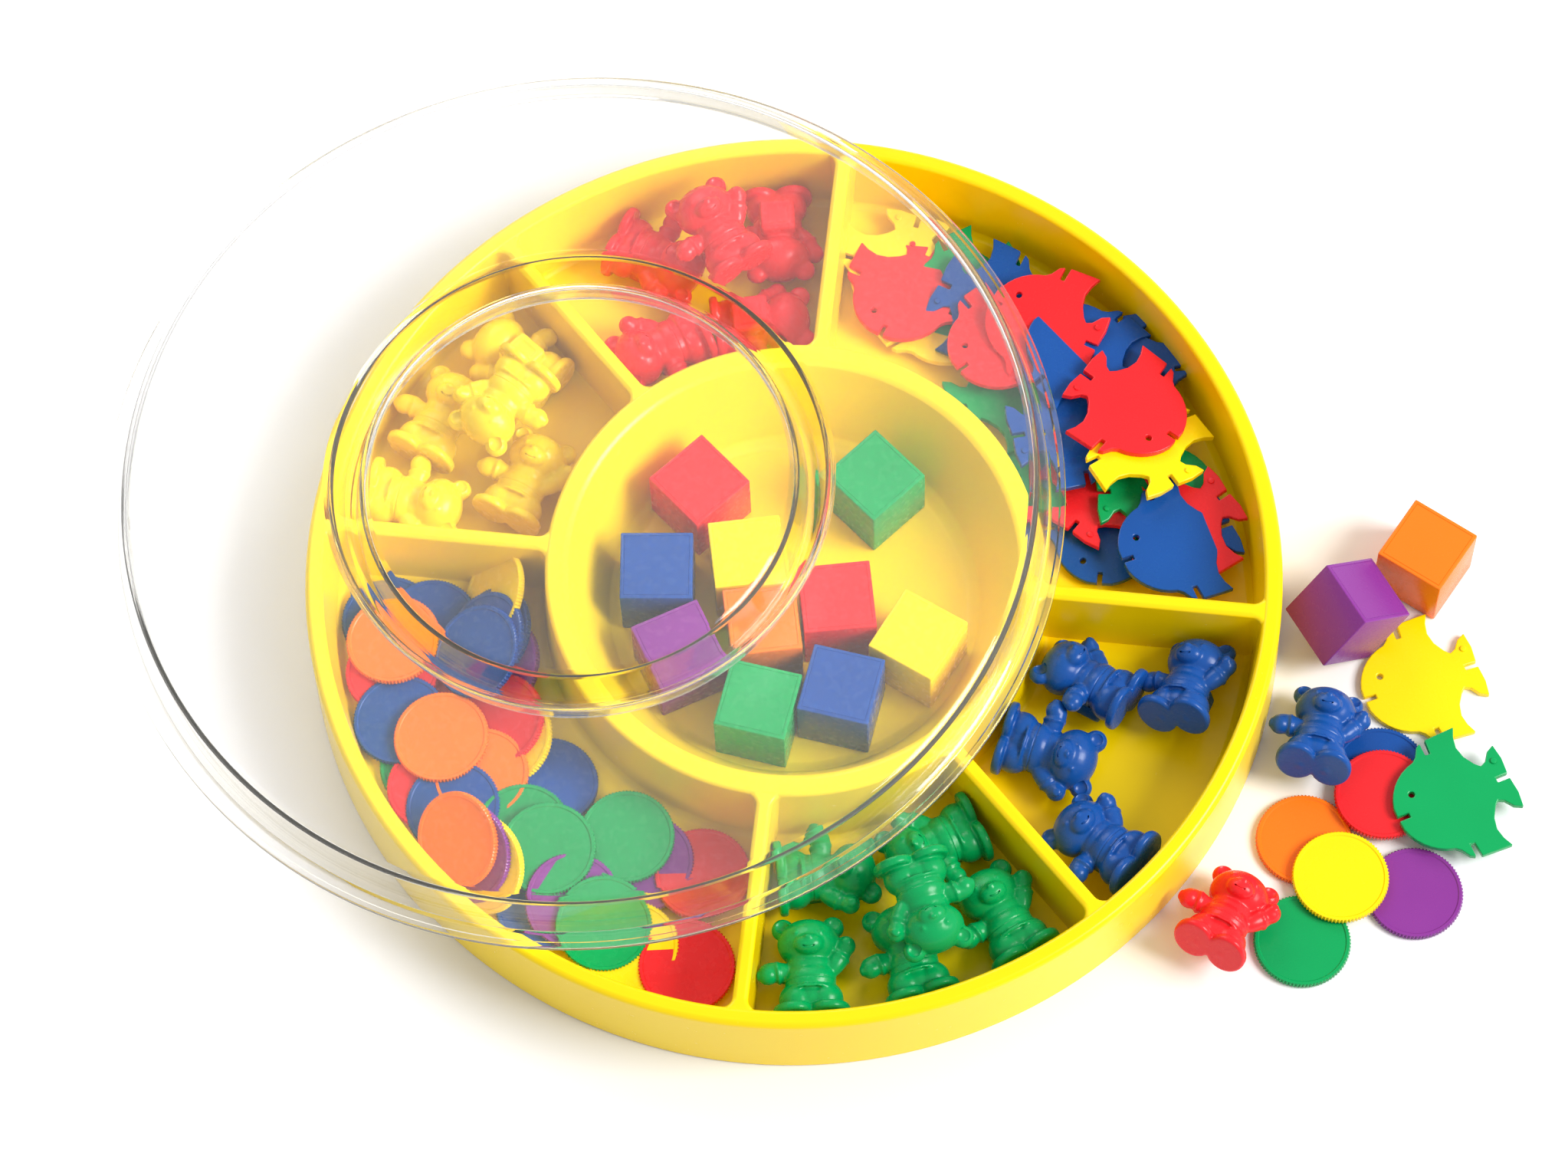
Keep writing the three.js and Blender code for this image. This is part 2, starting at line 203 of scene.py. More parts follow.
# %% [markdown]
# The lid is clear moulded sheet. A fully clear shader looks empty on the flat parts, where the real
# lid
# carries an even white haze of reflected overhead light. So a little of the sheet is white diffuse
# colour:
# a painted reflection, whiter on faces that face up. Light reaches what lies under it without a dark
# glass shadow.

# %% Clear plastic for the lid


def clear_plastic(name):
    """Clear plastic with a painted white haze, a painted reflection whiter on faces that face up; it
    lets light through to what it covers.
    """
    material = bpy.data.materials.new(name)
    material.use_nodes = True
    nodes, links = material.node_tree.nodes, material.node_tree.links
    shader = nodes["Principled BSDF"]
    shader.inputs["IOR"].default_value = 1.49
    # painted reflection: the part that is not transmitted shows the base colour as a white haze
    # standing in for reflected overhead light
    shader.inputs["Transmission Weight"].default_value = 0.97
    place = nodes.new("ShaderNodeTexCoord")
    parts = nodes.new("ShaderNodeSeparateXYZ")
    size = nodes.new("ShaderNodeMath")
    size.operation = "ABSOLUTE"
    level = nodes.new("ShaderNodeMapRange")
    level.inputs["From Min"].default_value = 0.7
    level.inputs["From Max"].default_value = 0.98
    # painted reflection: the haze is whiter where the face's normal points up (flat top) and deeper
    # on the steep channel walls
    painted_haze = nodes.new("ShaderNodeMix")
    painted_haze.data_type = "RGBA"
    painted_haze.inputs["A"].default_value = (0.92, 0.91, 0.86, 1)
    painted_haze.inputs["B"].default_value = (0.96, 0.96, 0.965, 1)
    links.new(place.outputs["Normal"], parts.inputs["Vector"])
    links.new(parts.outputs["Z"], size.inputs[0])
    links.new(size.outputs["Value"], level.inputs["Value"])
    links.new(level.outputs["Result"], painted_haze.inputs["Factor"])
    links.new(painted_haze.outputs["Result"], shader.inputs["Base Color"])
    scuffs = nodes.new("ShaderNodeTexNoise")
    scuffs.inputs["Scale"].default_value = 60
    span = nodes.new("ShaderNodeMapRange")
    span.inputs["To Min"].default_value = 0.015
    span.inputs["To Max"].default_value = 0.05
    through = nodes.new("ShaderNodeBsdfTransparent")
    through.inputs["Color"].default_value = (0.91, 0.91, 0.915, 1)
    path = nodes.new("ShaderNodeLightPath")
    choose = nodes.new("ShaderNodeMixShader")
    links.new(place.outputs["Object"], scuffs.inputs["Vector"])
    links.new(scuffs.outputs["Fac"], span.inputs["Value"])
    links.new(span.outputs["Result"], shader.inputs["Roughness"])
    links.new(path.outputs["Is Shadow Ray"], choose.inputs["Fac"])
    links.new(shader.outputs["BSDF"], choose.inputs[1])
    links.new(through.outputs["BSDF"], choose.inputs[2])
    links.new(choose.outputs["Shader"], nodes["Material Output"].inputs["Surface"])
    return material


FINISH["clear"] = clear_plastic("lid_clear")

# %% [markdown]
# ## Modelling helpers
# A lathe, a stamped outline and a tool that cuts are what this set needs. A profile is traced as
# by hand: one point is extruded from place to place, its corners are rounded, and the line is
# spun about Z or filled and pushed up. All modelling is in millimetres, and a piece is brought to
# metres when it takes its place.

# %% Helpers


def only(obj):
    """obj is the one selected and active object, in object mode."""
    if bpy.context.mode != "OBJECT":
        bpy.ops.object.mode_set(mode="OBJECT")
    bpy.ops.object.select_all(action="DESELECT")
    obj.select_set(True)
    bpy.context.view_layer.objects.active = obj
    return obj


def rest():
    """Nothing is selected, in object mode, before a new primitive."""
    if bpy.context.mode != "OBJECT":
        bpy.ops.object.mode_set(mode="OBJECT")
    bpy.ops.object.select_all(action="DESELECT")


def finish_modifier(obj, kind, **settings):
    """Adds one modifier and applies it."""
    only(obj)
    modifier = obj.modifiers.new(kind.lower(), kind)
    for name, value in settings.items():
        setattr(modifier, name, value)
    bpy.ops.object.modifier_apply(modifier=modifier.name)
    return obj


def cut_with(obj, tool, operation="DIFFERENCE"):
    """Cuts obj with a tool, or joins the two, and takes the tool away."""
    finish_modifier(obj, "BOOLEAN", object=tool, operation=operation, solver="EXACT")
    bpy.data.objects.remove(tool)
    return obj


def merged(first, *others):
    """Several objects as one."""
    only(first)
    for other in others:
        other.select_set(True)
    bpy.ops.object.join()
    return first


def choose_in_edit(obj, kind, test):
    """Enters edit mode with just the vertices, edges or faces that pass the test selected."""
    only(obj)
    bpy.ops.object.mode_set(mode="EDIT")
    bpy.ops.mesh.select_mode(type=kind)
    bpy.ops.mesh.select_all(action="DESELECT")
    bpy.ops.object.mode_set(mode="OBJECT")
    mesh = obj.data
    items = {"VERT": mesh.vertices, "EDGE": mesh.edges, "FACE": mesh.polygons}[kind]
    for item in items:
        item.select = bool(test(item))
    bpy.ops.object.mode_set(mode="EDIT")


def trace(name, points, closed=True, rounds=()):
    """A line through points in mm. rounds holds (test of a point, radius, steps) for corners."""
    rest()
    bpy.ops.mesh.primitive_plane_add(size=1, location=(0, 0, 0))
    obj = bpy.context.object
    obj.name = name
    bpy.ops.object.mode_set(mode="EDIT")
    bpy.ops.mesh.select_mode(type="VERT")
    bpy.ops.mesh.merge(type="CENTER")
    bpy.ops.transform.translate(value=points[0])
    for before, after in zip(points, points[1:]):
        step = Vector(after) - Vector(before)
        bpy.ops.mesh.extrude_region_move(TRANSFORM_OT_translate={"value": step})
    if closed:
        step = Vector(points[0]) - Vector(points[-1])
        bpy.ops.mesh.extrude_region_move(TRANSFORM_OT_translate={"value": step})
        bpy.ops.mesh.select_all(action="SELECT")
        bpy.ops.mesh.remove_doubles(threshold=0.001)
    bpy.ops.object.mode_set(mode="OBJECT")
    for test, radius, steps in rounds:
        choose_in_edit(obj, "VERT", lambda v: test(v.co))
        bpy.ops.mesh.bevel(offset=radius, segments=steps, affect="VERTICES")
    bpy.ops.object.mode_set(mode="OBJECT")
    return obj


def spun(obj, steps):
    """A traced profile turned all the way about Z."""
    only(obj)
    bpy.ops.object.mode_set(mode="EDIT")
    bpy.ops.mesh.select_mode(type="VERT")
    bpy.ops.mesh.select_all(action="SELECT")
    bpy.ops.mesh.spin(steps=steps, angle=2 * math.pi, center=(0, 0, 0), axis=(0, 0, 1))
    bpy.ops.mesh.select_all(action="SELECT")
    bpy.ops.mesh.remove_doubles(threshold=0.002)
    bpy.ops.mesh.normals_make_consistent(inside=False)
    bpy.ops.object.mode_set(mode="OBJECT")
    return obj


def stamped(obj, thick):
    """A traced outline in the XY plane, filled and pushed up to a plate about z = 0."""
    only(obj)
    bpy.ops.object.mode_set(mode="EDIT")
    bpy.ops.mesh.select_all(action="SELECT")
    bpy.ops.mesh.edge_face_add()
    bpy.ops.transform.translate(value=(0, 0, -thick / 2))
    bpy.ops.mesh.extrude_region_move(TRANSFORM_OT_translate={"value": (0, 0, thick)})
    bpy.ops.mesh.select_all(action="SELECT")
    bpy.ops.mesh.normals_make_consistent(inside=False)
    bpy.ops.object.mode_set(mode="OBJECT")
    return obj


def edge_turns(obj):
    """For each edge of a mesh, how far its two faces turn, in degrees."""
    mesh = obj.data
    sides = {}
    for face in mesh.polygons:
        for key in face.edge_keys:
            sides.setdefault(key, []).append(face.normal.copy())
    turns = {}
    for edge in mesh.edges:
        near = sides.get(tuple(edge.key), [])
        turns[edge.index] = math.degrees(near[0].angle(near[1], 0)) if len(near) == 2 else 180
    return turns


def smooth(obj, degrees=32):
    only(obj)
    bpy.ops.object.shade_smooth_by_angle(angle=math.radians(degrees))
    return obj


def spot(x, y, z):
    return Matrix.Translation(Vector((x, y, z)))


def polar(radius, bearing):
    return radius * math.cos(math.radians(bearing)), radius * math.sin(math.radians(bearing))


print("helpers are ready")

# %% [markdown]
# ## Tray
# The tray is one moulding: a wall, a bowl in the middle and dividers between. It is made as a
# turned block with the bowl in it. The six compartments are cut out with one tool: a turned
# ring, parted by ribs and rounded at its inside corners, so that each divider meets the walls
# and floor in a soft fillet. The tool's mouth flares, which rounds the top edges over.

# %% Tray sizes
TRAY_RADIUS = 134.0
TRAY_HEIGHT = 28.5
SKIRT = TRAY_RADIUS + 0.6
FLOOR = 2.8
RIM = 5.0
WALL_FOOT = TRAY_RADIUS - RIM - 1.8
BOWL_OUTER = 68.2
BOWL_OUTER_FOOT = BOWL_OUTER + 1.4
BOWL_INNER = 62.3
BOWL_FLOOR = 50.5
HOLLOW_FOOT = (51.5, 67.2)
HOLLOW_HEAD = (62.6, 65.8)
DIVIDER_TOP = 4.2
DIVIDER_FOOT = 5.2
DIVIDERS = [81, 126, 171, 261, 306, 351]
TURNS = 180
ABOVE = 6.0

# %% The turned block
ROUND = 1.3
FILLET = 3.0
DIVIDER_LOW = 0.3
BELOW = 5.0
PAST_WALL = 5.0
TUCK = 0.2


def tray_block():
    """The tray before its compartments are cut: outside wall, bowl, and the hollow below."""
    profile = [
        (0, 0, 0),
        (HOLLOW_FOOT[0], 0, 0),
        (HOLLOW_HEAD[0], 0, TRAY_HEIGHT - FLOOR),
        (HOLLOW_HEAD[1], 0, TRAY_HEIGHT - FLOOR),
        (HOLLOW_FOOT[1], 0, 0),
        (SKIRT, 0, 0),
        (TRAY_RADIUS, 0, TRAY_HEIGHT),
        (BOWL_INNER, 0, TRAY_HEIGHT),
        (BOWL_FLOOR, 0, FLOOR),
        (0, 0, FLOOR),
    ]
    corners = [
        (lambda p: p.x > TRAY_RADIUS - 1 and p.z > TRAY_HEIGHT - 1, 1.6, 6),
        (lambda p: abs(p.x - BOWL_INNER) < 0.5 and p.z > TRAY_HEIGHT - 1, 1.5, 6),
        (lambda p: abs(p.x - BOWL_FLOOR) < 0.5 and abs(p.z - FLOOR) < 0.5, 3.0, 6),
        (lambda p: abs(p.x - SKIRT) < 0.1 and p.z < 0.1, 0.5, 2),
    ]
    line = trace("tray", profile, closed=False, rounds=corners)
    return spun(line, TURNS)


def arc(x, y, radius, start, end, steps):
    """Points of an arc, by its middle, its radius and two angles in degrees."""
    angles = [start + (end - start) * i / steps for i in range(steps + 1)]
    return [(x + polar(radius, a)[0], y + polar(radius, a)[1]) for a in angles]


def rib_tool(angle):
    """One divider, round-topped, wider at its foot, with a fillet into the wall at each end."""
    half = DIVIDER_TOP / 2
    inner = BOWL_OUTER + FILLET - TUCK
    outer = TRAY_RADIUS - RIM - FILLET
    side = arc(inner, half + FILLET, FILLET, 180, 270, 6)
    side += arc(outer, half + FILLET, FILLET, 270, 360, 6)
    side.insert(0, (BOWL_OUTER - PAST_WALL, half + FILLET))
    side.append((TRAY_RADIUS + PAST_WALL, half + FILLET))
    plan = side + [(x, -y) for x, y in reversed(side)]
    tall = TRAY_HEIGHT - DIVIDER_LOW + BELOW
    rib = stamped(trace("rib", [(x, y, 0) for x, y in plan]), tall)
    choose_in_edit(rib, "VERT", lambda v: v.co.z < 0)
    widen = 1 + (DIVIDER_FOOT / DIVIDER_TOP - 1) * tall / (TRAY_HEIGHT - FLOOR)
    bpy.ops.transform.resize(value=(1, widen, 1), center_override=(0, 0, 0))
    choose_in_edit(rib, "EDGE", lambda e: all(rib.data.vertices[i].co.z > 0 for i in e.vertices))
    bpy.ops.mesh.bevel(offset=ROUND, segments=4)
    bpy.ops.object.mode_set(mode="OBJECT")
    lift = Matrix.Translation((0, 0, tall / 2 - BELOW))
    rib.data.transform(Matrix.Rotation(math.radians(angle), 4, "Z") @ lift)
    return rib


def compartment_tool():
    """The room of the six compartments: a turned ring with a flared mouth, parted by ribs."""
    wall = TRAY_RADIUS - RIM
    mouth = TRAY_HEIGHT - ROUND
    head = TRAY_HEIGHT + ABOVE
    outer_lip = arc(wall + ROUND, mouth, ROUND, 180, 90, 5)
    inner_lip = arc(BOWL_OUTER - ROUND, mouth, ROUND, 90, 0, 5)
    section = [(BOWL_OUTER_FOOT, FLOOR), (WALL_FOOT, FLOOR)] + outer_lip
    section += [(wall + ROUND, head), (BOWL_OUTER - ROUND, head)] + inner_lip
    low_corners = (lambda p: p.z < FLOOR + 0.01, 2.0, 5)
    line = trace("compartments", [(x, 0, z) for x, z in section], rounds=[low_corners])
    tool = spun(line, TURNS)
    for angle in DIVIDERS:
        cut_with(tool, rib_tool(angle))
    return tool


def even_normals(obj, degrees):
    """Smooth shading in which the large flat faces stay flat up to their rounded edges."""
    smooth(obj, degrees)
    return finish_modifier(obj, "WEIGHTED_NORMAL", keep_sharp=True, weight=80)


tray = tray_block()
cut_with(tray, compartment_tool())
even_normals(tray, 32)
print("tray:", len(tray.data.polygons), "faces")

# %% [markdown]
# ## Placing
# A finished piece is moved by its mesh, so that its object stays at the origin. Copies of a
# counter each get their own mesh. A piece rides on its CAD node's body and is shown in place of it.

# %% Placing helpers
TO_METRES = Matrix.Scale(0.001, 4)
BODY_OF = {}
for body, members in frame["record"]["behaviour"]["bodies"].items():
    for member in members:
        BODY_OF[member] = body


def settle(obj, name, colour, place=None, node=None):
    """Brings a piece to its place in metres, paints it and ties it to the frame."""
    obj.name = name
    obj.data.transform(TO_METRES @ (place or Matrix.Identity(4)))
    obj.data.materials.clear()
    obj.data.materials.append(FINISH[colour])
    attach(obj, BODY_OF.get(node, "tray"))
    if node:
        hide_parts(node)
    return obj


def copy_of(pattern):
    copy = pattern.copy()
    copy.data = pattern.data.copy()
    scene.collection.objects.link(copy)
    return copy


def lay(x, y, z, turn=0, lean=0, bearing=0):
    """Flat pieces and cubes: a turn about Z, then a lean of some degrees towards a bearing."""
    axis = Vector((-math.sin(math.radians(bearing)), math.cos(math.radians(bearing)), 0))
    tip = Matrix.Rotation(math.radians(lean), 4, axis)
    return spot(x, y, z) @ tip @ Matrix.Rotation(math.radians(turn), 4, "Z")


def lay_bear(x, y, z, bearing, rise=0, roll=0):
    """A bear whose head points along a bearing, face up at roll 0, turned about its body by roll."""
    b, r = math.radians(bearing), math.radians(rise)
    head = Vector((math.cos(b) * math.cos(r), math.sin(b) * math.cos(r), math.sin(r)))
    across = Vector((math.sin(b), -math.cos(b), 0))
    back = head.cross(across)
    stand = Matrix((across, back, head)).transposed().to_4x4()
    return spot(x, y, z) @ stand @ Matrix.Rotation(math.radians(roll), 4, "Z")


settle(tray, "tray_moulding", "tray", node="tray")

# %% [markdown]
# ## Lid
# The lid is a thin clear sheet with a flat flange, a drafted wall, a flat top and a round-bottomed
# channel. Its profile runs round both faces of the sheet, with the corners rounded, and is spun.

# %% Lid
LID_RADIUS = TRAY_RADIUS - 1
LID_HEIGHT = 15.5
SHEET = 1.5
LIP = 0.6
FLANGE_IN = LID_RADIUS - 4.5
WALL_HEAD = FLANGE_IN - 3.2
CHANNEL_OUT = BOWL_OUTER - 0.3
CHANNEL_IN = BOWL_INNER - 2.4
CHANNEL_LOW = LID_HEIGHT - 13
CHANNEL_MID = (CHANNEL_OUT + CHANNEL_IN) / 2
CHANNEL_HALF = 1.2
LID_PLACE = (-57, 22.8)
LID_TILT = 1.2
LID_LIFT = 1.2


def lid_profile():
    under = LID_HEIGHT - SHEET
    return [
        (0, 0, under),
        (CHANNEL_IN - SHEET, 0, under),
        (CHANNEL_MID - CHANNEL_HALF - SHEET, 0, CHANNEL_LOW - SHEET),
        (CHANNEL_MID + CHANNEL_HALF + SHEET, 0, CHANNEL_LOW - SHEET),
        (CHANNEL_OUT + SHEET, 0, under),
        (WALL_HEAD - SHEET, 0, under),
        (FLANGE_IN - SHEET, 0, 0),
        (LID_RADIUS, 0, 0),
        (LID_RADIUS, 0, SHEET + LIP),
        (LID_RADIUS - 1.4, 0, SHEET + LIP),
        (LID_RADIUS - 1.9, 0, SHEET),
        (FLANGE_IN, 0, SHEET),
        (WALL_HEAD, 0, LID_HEIGHT),
        (CHANNEL_OUT, 0, LID_HEIGHT),
        (CHANNEL_MID + CHANNEL_HALF, 0, CHANNEL_LOW),
        (CHANNEL_MID - CHANNEL_HALF, 0, CHANNEL_LOW),
        (CHANNEL_IN, 0, LID_HEIGHT),
        (0, 0, LID_HEIGHT),
    ]


lid_corners = [
    (lambda p: abs(p.x - CHANNEL_MID) < 4.2 and p.z < CHANNEL_LOW + 0.2, 1.1, 5),
    (lambda p: 1 < p.x < WALL_HEAD + 1 and p.z > LID_HEIGHT - 0.2, 2.2, 6),
    (lambda p: 1 < p.x < WALL_HEAD + 1 and abs(p.z - LID_HEIGHT + SHEET) < 0.1, 1.0, 4),
    (lambda p: abs(p.x - LID_RADIUS) < 0.1, 0.4, 3),
    (lambda p: abs(p.x - FLANGE_IN) < 0.1 and p.z < SHEET + 0.1, 0.9, 3),
]
lid = spun(trace("lid", lid_profile(), closed=False, rounds=lid_corners), TURNS)
even_normals(lid, 40)
lid_bearing = math.degrees(math.atan2(LID_PLACE[1], LID_PLACE[0]))
settle(
    lid,
    "lid_moulding",
    "clear",
    lay(*LID_PLACE, TRAY_HEIGHT + LID_LIFT, lean=LID_TILT, bearing=lid_bearing),
    node="lid",
)
print("lid:", len(lid.data.polygons), "faces")

# %% [markdown]
# ## Cube
# A cube counter is a hollow moulding closed by a snug plate, so five faces are plain and one
# shows a hairline just inside its edge. Its edges are hardly rounded.

# %% Cube pattern
CUBE = 20.0
CUBE_EDGE = 0.45
PLATE_INSET = 0.5
HAIRLINE = 0.12
HAIRLINE_DEPTH = 0.14
rest()
bpy.ops.mesh.primitive_cube_add(size=CUBE)
cube_pattern = bpy.context.object
choose_in_edit(cube_pattern, "EDGE", lambda e: True)
bpy.ops.mesh.bevel(offset=CUBE_EDGE, segments=3)
choose_in_edit(cube_pattern, "FACE", lambda f: f.normal.z > 0.99 and f.area > 100)
bpy.ops.mesh.inset(thickness=PLATE_INSET)
bpy.ops.mesh.inset(thickness=HAIRLINE, depth=-HAIRLINE_DEPTH)
bpy.ops.mesh.inset(thickness=HAIRLINE, depth=HAIRLINE_DEPTH)
bpy.ops.object.mode_set(mode="OBJECT")
smooth(cube_pattern, 20)
print("cube:", len(cube_pattern.data.polygons), "faces")

# %% [markdown]
# ## Disc
# A disc counter is 2 mm thick with a fine milled edge and a low lip on both faces. The lip is in
# the profile. The milling is made by drawing in every other column of points on the edge.

# %% Disc pattern
DISC_RADIUS = 13.2
DISC_THICK = 2.0
TEETH = 84
LIP_HEIGHT = 0.28
LIP_IN = DISC_RADIUS - 1.5
LIP_TOP = DISC_RADIUS - 1.2
LIP_OUT = DISC_RADIUS - 0.45
CHAMFER = 0.3
NOTCH = 0.962
half = DISC_THICK / 2
disc_profile = [
    (0, 0, LIP_HEIGHT - half),
    (LIP_IN, 0, LIP_HEIGHT - half),
    (LIP_TOP, 0, -half),
    (LIP_OUT, 0, -half),
    (DISC_RADIUS, 0, CHAMFER - half),
    (DISC_RADIUS, 0, half - CHAMFER),
    (LIP_OUT, 0, half),
    (LIP_TOP, 0, half),
    (LIP_IN, 0, half - LIP_HEIGHT),
    (0, 0, half - LIP_HEIGHT),
]
disc_pattern = spun(trace("disc", disc_profile, closed=False), 2 * TEETH)


def in_a_notch(vertex):
    """A point of the edge on every other spoke."""
    spoke = round(math.atan2(vertex.co.y, vertex.co.x) / (math.pi / TEETH))
    return Vector(vertex.co.xy).length > DISC_RADIUS - 0.1 and spoke % 2 == 0


choose_in_edit(disc_pattern, "VERT", in_a_notch)
bpy.ops.transform.resize(value=(NOTCH, NOTCH, 1), center_override=(0, 0, 0))
bpy.ops.object.mode_set(mode="OBJECT")
smooth(disc_pattern, 25)
print("disc:", len(disc_pattern.data.polygons), "faces")

# %% [markdown]
# ## Fish
# A fish counter is a flat plate that links edge to edge with others: slots at the mouth, in each
# fin and in the tail, a small hole for the eye and a stud on the tail. One half of its outline is
# traced and turned over for the other half. It swims along -X.

# %% Fish pattern
FISH_THICK = 2.0
BODY_RADIUS = 14.0


def fish_half():
    """Upper half of the outline, from the mouth over the fin to the tail's slot."""
    body = [polar(BODY_RADIUS, 175 - 9 * i) for i in range(1, 9)]
    fin_front = [(-1.8, 14.8), (-0.4, 17.2), (1.0, 18.0), (1.0, 14.2), (2.4, 14.2), (2.7, 18.4)]
    fin_back = [(11.6, 18.8), (10.3, 16.0), (9.7, 13.0), (10.4, 9.8), (12.2, 6.8), (13.6, 5.4)]
    tail = [(15.2, 6.2), (16.9, 8.6), (19.2, 9.8), (19.8, 5.4), (19.4, 0.75), (15.8, 0.75)]
    return [(-10.4, 0.7), (-13.7, 0.7)] + body + fin_front + fin_back + tail


upper = fish_half()
lower = [(x, -y) for x, y in reversed(upper)]
fish_outline = [(x, y, 0) for x, y in upper + lower]
fish_pattern = stamped(trace("fish", fish_outline), FISH_THICK)
rest()
bpy.ops.mesh.primitive_cylinder_add(vertices=16, radius=0.9, depth=6, location=(-7.4, 5.2, 0))
cut_with(fish_pattern, bpy.context.object)
fish_turns = edge_turns(fish_pattern)
choose_in_edit(fish_pattern, "EDGE", lambda e: fish_turns[e.index] > 60)
bpy.ops.mesh.bevel(offset=0.28, segments=2)
bpy.ops.object.mode_set(mode="OBJECT")
rest()
bpy.ops.mesh.primitive_cylinder_add(vertices=16, radius=0.85, depth=0.9, location=(17.3, 5.4, 1.1))
stud = bpy.context.object
choose_in_edit(stud, "EDGE", lambda e: all(stud.data.vertices[i].co.z > 0.3 for i in e.vertices))
bpy.ops.mesh.bevel(offset=0.25, segments=3)
cut_with(fish_pattern, stud, "UNION")
smooth(fish_pattern, 20)
print("fish:", len(fish_pattern.data.polygons), "faces")

# %% [markdown]
# ## Bear
# A bear counter is a soft-cornered solid teddy: a flat two-lobed sole, a round belly in a shirt,
# a big head with cupped ears and a muzzle, one arm up and one arm out, and a square pack on its
# back. Balls and blocks are joined and melted into one skin with a fine remesh, as clay would
# be, and the creases, ear cups and smile are cut in afterwards. It faces -Y. It is shaped on its
# sole, at z 0, and then brought to size about its middle.

# %% Bear parts
BEAR_HEIGHT = 28.0
SKIN_GRAIN = 0.42


def ball(x, y, z, rx, ry, rz, tilt=(0, 0, 0)):
    """A ball stretched to three radii, tilted by degrees about X, Y and Z."""
    rest()
    bpy.ops.mesh.primitive_uv_sphere_add(segments=32, ring_count=20, radius=1)
    obj = bpy.context.object
    obj.scale = (rx, ry, rz)
    obj.rotation_euler = [math.radians(a) for a in tilt]
    obj.location = (x, y, z)
    bpy.ops.object.transform_apply(location=True, rotation=True, scale=True)
    return obj


def ring(x, y, z, rx, ry, thick, tilt=(0, 0, 0)):
    """A rope-like ring of two radii, lying flat before its tilt."""
    rest()
    bpy.ops.mesh.primitive_torus_add(
        major_radius=1, minor_radius=thick / max(rx, ry), major_segments=40, minor_segments=10
    )
    obj = bpy.context.object
    obj.scale = (rx, ry, max(rx, ry))
    obj.rotation_euler = [math.radians(a) for a in tilt]
    obj.location = (x, y, z)
    bpy.ops.object.transform_apply(location=True, rotation=True, scale=True)
    return obj


def foot(x):
    """One lobe of the sole: a low drum, flat below."""
    rest()
    bpy.ops.mesh.primitive_cylinder_add(vertices=40, radius=1, depth=2.6, location=(x, -0.6, 1.3))
    obj = bpy.context.object
    obj.scale = (6.3, 7.4, 1)
    bpy.ops.object.transform_apply(location=True, rotation=True, scale=True)
    choose_in_edit(obj, "FACE", lambda f: abs(f.normal.z) > 0.9)
    bpy.ops.mesh.bevel(offset=0.7, segments=3)
    bpy.ops.object.mode_set(mode="OBJECT")
    return obj


def pack():
    """The square pack on the back, with a raised flap."""
    rest()
    bpy.ops.mesh.primitive_cube_add(size=1, location=(0, 6.6, 11.6))
    obj = bpy.context.object
    obj.scale = (11.0, 5.6, 10.6)
    bpy.ops.object.transform_apply(location=True, rotation=True, scale=True)
    choose_in_edit(obj, "EDGE", lambda e: True)
    bpy.ops.mesh.bevel(offset=1.1, segments=3)
    choose_in_edit(obj, "FACE", lambda f: f.normal.y > 0.99)
    bpy.ops.mesh.inset(thickness=0.8)
    bpy.ops.mesh.inset(thickness=0.5, depth=-0.5)
    bpy.ops.object.mode_set(mode="OBJECT")
    return obj


def bear_body():
    """All that is raised on a bear, before it is melted together."""
    legs = [
        foot(-5.2),
        foot(5.2),
        ball(-4.0, 0.3, 5.2, 5.6, 6.0, 5.4),
        ball(4.0, 0.3, 5.2, 5.6, 6.0, 5.4),
        ball(0, 0.4, 5.6, 6.8, 5.8, 5.2),
    ]
    trunk = [
        ball(0, -0.2, 11.0, 7.7, 6.5, 6.0),
        ball(0, 0, 15.4, 6.8, 5.9, 5.0),
        ring(0, -0.1, 7.6, 7.7, 6.6, 0.5),
    ]
    head = [
        ball(0, -0.2, 22.6, 9.3, 8.2, 7.4),
        ball(0, -7.0, 20.3, 4.4, 3.1, 3.2),
        ball(0, -9.9, 21.5, 1.3, 0.8, 0.8),
        ball(-3.6, -7.3, 23.6, 0.9, 0.8, 0.9),
        ball(3.6, -7.3, 23.6, 0.9, 0.8, 0.9),
        ball(-7.4, 0.2, 27.5, 3.4, 2.6, 3.4),
        ball(7.4, 0.2, 27.5, 3.4, 2.6, 3.4),
    ]
    out_arm = [
        ball(-9.0, -0.6, 13.9, 6.2, 3.1, 3.1, (0, 8, 6)),
        ball(-12.4, -1.0, 13.2, 3.1, 3.0, 3.0),
        ring(-9.4, -0.7, 13.8, 3.15, 3.15, 0.45, (0, 84, 0)),
        ball(-15.3, -1.2, 13.0, 0.6, 1.5, 1.5),
    ]
    raised_arm = [
        ball(8.4, -1.0, 17.0, 3.1, 3.0, 6.2, (0, 32, 0)),
        ball(10.9, -1.8, 20.8, 3.0, 2.9, 3.1, (0, 32, 0)),
        ring(8.8, -0.9, 17.8, 3.15, 3.1, 0.45, (0, 32, 0)),
        ball(11.3, -4.6, 21.4, 1.5, 0.6, 1.5),
    ]
    return merged(*legs, *trunk, *head, *out_arm, *raised_arm, pack())


bear_pattern = bear_body()
finish_modifier(bear_pattern, "REMESH", mode="VOXEL", voxel_size=SKIN_GRAIN)
finish_modifier(bear_pattern, "SMOOTH", factor=0.5, iterations=4)
print("bear melted:", len(bear_pattern.data.polygons), "faces")

